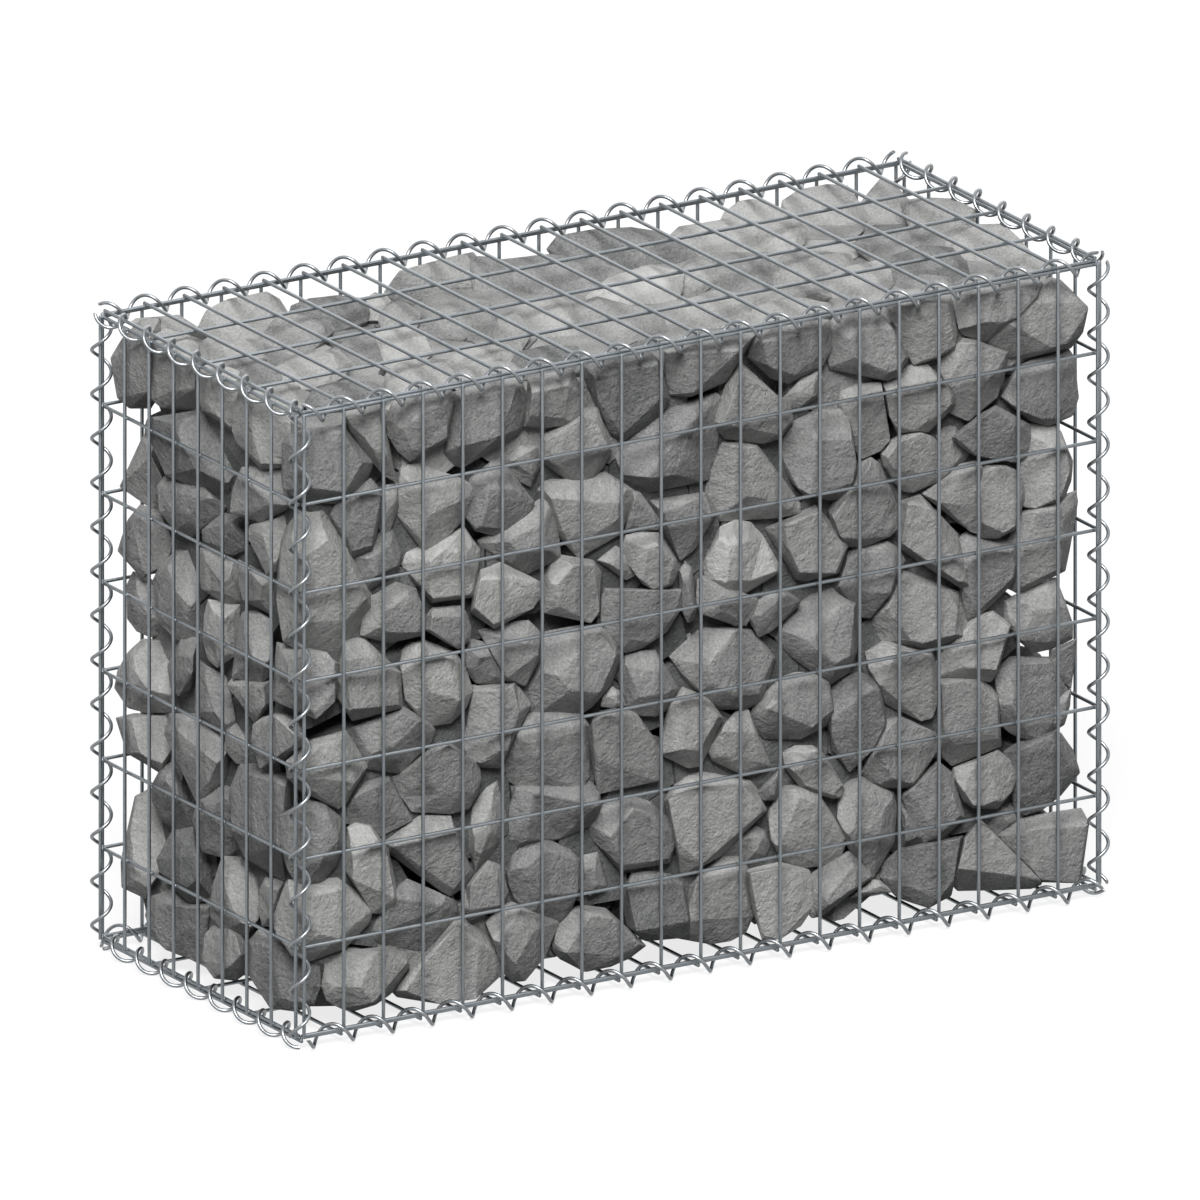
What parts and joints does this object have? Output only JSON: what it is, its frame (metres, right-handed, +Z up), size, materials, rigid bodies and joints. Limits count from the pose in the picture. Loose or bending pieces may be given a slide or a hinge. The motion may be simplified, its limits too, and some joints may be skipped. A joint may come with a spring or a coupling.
{
  "type": "gabion wall basket",
  "caption": "Free-standing gabion wall unit: a laced welded wire basket packed with broken rock, to stand on level ground.",
  "frame": {"origin": "middle of the basket on the ground, under its lowest spirals", "axes": "+X along the wall, +Y from the front face to the back, +Z up"},
  "size_m": [1.033, 0.4362, 0.7322],
  "materials": {
    "mesh_wire": "hot-dip galvanised, dull grey",
    "spiral_wire": "bright galvanised, smooth",
    "rock": "broken grey rock, matt and rough"
  },
  "bodies": {
    "root": {"back_panel": "mesh_wire", "base_panel": "mesh_wire", "front_panel": "mesh_wire", "left_panel": "mesh_wire", "lid_panel": "mesh_wire", "right_panel": "mesh_wire", "rock_course_1": "rock", "rock_course_2": "rock", "rock_course_3": "rock", "rock_course_4": "rock", "rock_course_5": "rock", "rock_course_6": "rock", "rock_course_7": "rock", "spiral_back_left": "spiral_wire", "spiral_back_right": "spiral_wire", "spiral_bottom_back": "spiral_wire", "spiral_bottom_front": "spiral_wire", "spiral_bottom_left": "spiral_wire", "spiral_bottom_right": "spiral_wire", "spiral_front_left": "spiral_wire", "spiral_front_right": "spiral_wire", "spiral_top_back": "spiral_wire", "spiral_top_front": "spiral_wire", "spiral_top_left": "spiral_wire", "spiral_top_right": "spiral_wire"}
  },
  "joints": []
}
